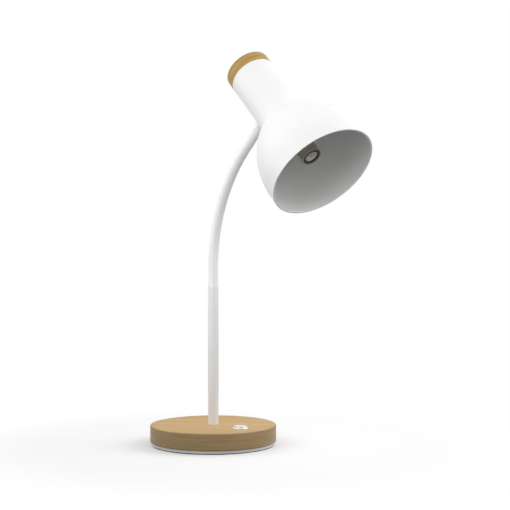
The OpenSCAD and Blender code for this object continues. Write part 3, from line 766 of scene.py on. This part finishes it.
def headPoint(x, y, z):
    # from the shade's own frame, z up from its mouth, to the lamp's
    tilt = Matrix.Rotation(math.radians(headTurn[1]), 3, "Y")
    return tilt @ Vector((x, y, z)) + Vector(headPlace)


def drawWire(name, line, part, finish):
    # part is the cable's jacket or one of its cores
    sizes = cable[part]
    return grow(name, rodTree, line, chain(line), {**sizes, "Finish": finishes[finish]})


hoseTree = makeHoseTree("hose", True)
rodTree = makeHoseTree("rod", False)
ballPitch = (neckPath["lastBall"] - neckPath["firstBall"]) / neckPath["links"]
for i in range(neckPath["links"] + 1):
    ball = neckPath["firstBall"] + i * ballPitch
    low = sleeve["from"] if i == 0 else ball - ballPitch / 2
    high = sleeve["to"] if i == neckPath["links"] else ball + ballPitch / 2
    line = pathPoints(low, high, sleeve["step"])
    skin = grow(
        "sleeve_%02d" % (i + 1), hoseTree, line, chain(line),
        {"Radius": sleeve["radius"], "Wall": sleeve["wall"], "Sides": sleeve["sides"],
         "Finish": finishes["white_plastic"]},
    )
    flex = drawWire("cable_%02d" % (i + 1), line, "jacket", "cable")
    for piece in (skin, flex):
        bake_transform(piece)
    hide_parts("gooseneck_sleeve")
    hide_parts("lamp_cable")


def bend(centre, start, angle, axis, steps=14):
    # points of an arc that starts at start and turns about centre
    arm = Vector(start) - Vector(centre)
    return [
        Vector(centre) + Matrix.Rotation(math.radians(angle) * i / steps, 3, axis) @ arm
        for i in range(steps + 1)
    ]


def layCableEnds():
    height, turn, inset = cable["wireHeight"], cable["coreTurn"], cable["coreIn"]
    low = Vector((0, 0, height + turn + cable["jacketUp"]))
    jacket = drawWire("cableInStem", [low, pathPoint(sleeve["from"])], "jacket", "cable")
    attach(jacket, "base")
    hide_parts("lamp_cable")
    for name, (side, ends) in cable["coreRuns"].items():
        first = (side * inset, 0, height + turn)
        centre = (side * (inset + turn), 0, height + turn)
        line = [Vector((side * inset, 0, height + turn + cable["coreUp"]))]
        line += bend(centre, first, -90 * side, "Y")
        line += [line[-1] + Vector((side * cable["coreFlat"], 0, 0))]
        line += [Vector((x, y, height)) for x, y in ends]
        core = drawWire(name, line, "core", "conductor")
        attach(core, "base")
        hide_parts("lamp_cable")
    entry, turn = cable["entry"], cable["neckTurn"]
    line = [pathPoint(sleeve["to"])]
    line += bend(headPoint(-turn, 0, entry - turn), headPoint(-turn, 0, entry), 90, "Y")
    line += [headPoint(0, 0, cable["jacketEnd"])]
    drop = drawWire("cableInNeck", line, "jacket", "cable")
    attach(drop, "head")
    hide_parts("lamp_cable")
    for name, side in (("coreInHolderLeft", -1), ("coreInHolderRight", 1)):
        line = [headPoint(0, side * inset, cable[end]) for end in ("coreFrom", "coreTo")]
        core = drawWire(name, line, "core", "conductor")
        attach(core, "head")
        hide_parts("lamp_cable")


layCableEnds()
print("cable ends laid")


# fasteners, thread and spring
screwSocket = {"radius": 0.00115, "depth": 0.0009, "sides": 6, "swell": 1.04}
screwEnds = {
    "headEdge": 0.0003,
    "bare": 1.5,  # thread pitches that stay plain at the tip
    "tipEdge": 0.0004,
    "tipWidth": 0.5,  # against the neck's
}
rivet = {
    "head": 0.0024,
    "shank": 0.0015,
    "dome": 0.00085,
    "land": 0.00015,
    "low": 0.086195,
    "high": 0.091195,
    "ring": 0.02245,
    "count": 3,
    "sides": 28,
    "seed": 5,
}
plateScrew = {
    "head": 0.0034,
    "neck": 0.00175,
    "low": 0.001,
    "taper": 0.002,
    "tip": 0.015,
    "groove": 0.00028,
    "pitch": 0.0013,
    "places": [(0.069, a) for a in (45, 135, 225, 315)],
    "sides": 24,
    "seed": 3,
}
weightScrew = {
    "head": 0.0034,
    "neck": 0.0028,
    "low": 0.0065,
    "taper": 0.002,
    "tip": 0.022,
    "groove": 0.00028,
    "pitch": 0.0014,
    "places": [(0.042, a) for a in (62, -62, 122, -122)],
    "sides": 24,
    "seed": 8,
}


def turnOnLathe(name, profile, sides, reshape=None):
    # the profile of (radius, height) goes round the Z axis
    shape = bmesh.new()
    spots = [shape.verts.new((r, 0, z)) for r, z in profile]
    edges = [shape.edges.new(pair) for pair in zip(spots, spots[1:])]
    bmesh.ops.spin(
        shape, geom=spots + edges, cent=(0, 0, 0), axis=(0, 0, 1), dvec=(0, 0, 0),
        angle=2 * math.pi, steps=sides, use_merge=False, use_duplicate=False,
    )
    if reshape:
        for spot in shape.verts:
            reshape(spot)
    mesh = bpy.data.meshes.new(name)
    shape.to_mesh(mesh)
    shape.free()
    tidyMesh(mesh)
    return bpy.data.objects.new(name, mesh)


def onRing(places):
    # points from pairs of radius and angle
    return [(r * math.cos(math.radians(a)), r * math.sin(math.radians(a)), 0) for r, a in places]


def hexagon(spot):
    # moves a point of the socket's wall from round to six-sided
    if abs(spot.co.xy.length - screwSocket["radius"]) < weldDistance:
        side = 2 * math.pi / screwSocket["sides"]
        off = (math.atan2(spot.co.y, spot.co.x) % side) - side / 2
        spot.co.xy *= math.cos(side / 2) / math.cos(off) * screwSocket["swell"]


def screwProfile(screw):
    low, neck, pitch = screw["low"], screw["neck"], screw["pitch"]
    socket, deep = screwSocket["radius"], screwSocket["depth"]
    head, edge = screw["head"], screwEnds["headEdge"]
    profile = [(0, low + deep), (socket, low + deep), (socket, low), (head - edge, low),
               (head, low + edge), (neck, low + screw["taper"])]
    z = low + screw["taper"] + pitch
    while z < screw["tip"] - screwEnds["bare"] * pitch:
        profile += [(neck, z), (neck - screw["groove"], z + pitch / 2)]
        z += pitch
    point = (neck * screwEnds["tipWidth"], screw["tip"] - screwEnds["tipEdge"])
    return profile + [(neck, z), point, (0, screw["tip"])]


def rivetProfile():
    # a closed rivet: a dome under the plate, the shank, and a dome over it
    low, high, dome, land = rivet["low"], rivet["high"], rivet["dome"], rivet["land"]
    arc = [math.radians(a) for a in range(0, 91, 10)]
    under = [(rivet["head"] * math.sin(a), low + dome * (1 - math.cos(a))) for a in arc]
    over = [(rivet["head"] * math.cos(a), high - dome + dome * math.sin(a)) for a in arc]
    top = high - dome - land
    return under + [(rivet["head"], low + dome + land), (rivet["shank"], low + dome + land),
                    (rivet["shank"], top), (rivet["head"], top)] + over


def fasten(name, kind, profile, places, reshape=None):
    item = turnOnLathe(name + "Item", profile, kind["sides"], reshape)
    bpy.context.scene.collection.objects.link(item)
    values = {"Item": item, "Seed": kind["seed"], "Finish": finishes["steel"]}
    piece = grow(name, fastenerTree, places, [], values)
    bpy.data.objects.remove(item)
    return piece


headFrame = Matrix.Translation(headPlace) @ Matrix.Rotation(math.radians(headTurn[1]), 4, "Y")
fastenerTree = makeFastenerTree()
for name, screw, node in (
    ("plateScrews", plateScrew, "plate_screws"),
    ("weightScrews", weightScrew, "weight_screws"),
):
    piece = fasten(name, screw, screwProfile(screw), onRing(screw["places"]), hexagon)
    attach(piece, "base")
    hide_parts(node)
places = onRing([(rivet["ring"], 360 * i / rivet["count"]) for i in range(rivet["count"])])
rivets = fasten("rivets", rivet, rivetProfile(), places)
rivets.data.transform(headFrame)
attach(rivets, "head")
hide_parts("plate_rivets")

shell = {
    "radius": 0.00716,
    "depth": 0.00017,
    "pitch": 0.0028,
    "length": 0.015,
    "wall": 0.00018,
    "low": 0.026,  # up from the shade's mouth
    "fade": 9.0,  # the thread has its full depth a ninth of its length in from each end
    "around": 73,
    "along": 46,
}
thread = grow(
    "threadShell", makeThreadTree(), [(0, 0, 0)], [],
    {"Radius": shell["radius"] + shell["wall"] / 2, "Depth": shell["depth"],
     "Pitch": shell["pitch"], "Length": shell["length"], "Wall": shell["wall"],
     "Fade": shell["fade"], "Around": shell["around"], "Along": shell["along"],
     "Finish": finishes["thread_metal"]},
)
thread.data.transform(headFrame @ Matrix.Translation((0, 0, shell["low"])))
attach(thread, "head")
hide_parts("thread_shell")

coil = {
    "at": (0.0485, 0.0, 0.012175),
    "turns": 4.0,
    "radius": 0.0042,
    "height": 0.01145,
    "wire": 0.000175,
    "steps": 40,
    "sides": 12,
    "keep": 0.88,  # what is left of its height with the button pressed home
}
spring = grow(
    "returnSpring", makeSpringTree(), [(0, 0, 0)], [],
    {"Turns": coil["turns"], "Radius": coil["radius"], "Height": coil["height"],
     "Wire": coil["wire"], "Steps": coil["steps"], "Sides": coil["sides"],
     "Finish": finishes["steel"]},
)
spring.data.transform(Matrix.Translation(coil["at"]))
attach(spring, "base")
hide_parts("switch_spring")
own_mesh(spring)
print("fasteners, thread and spring made")


print("all pieces made")
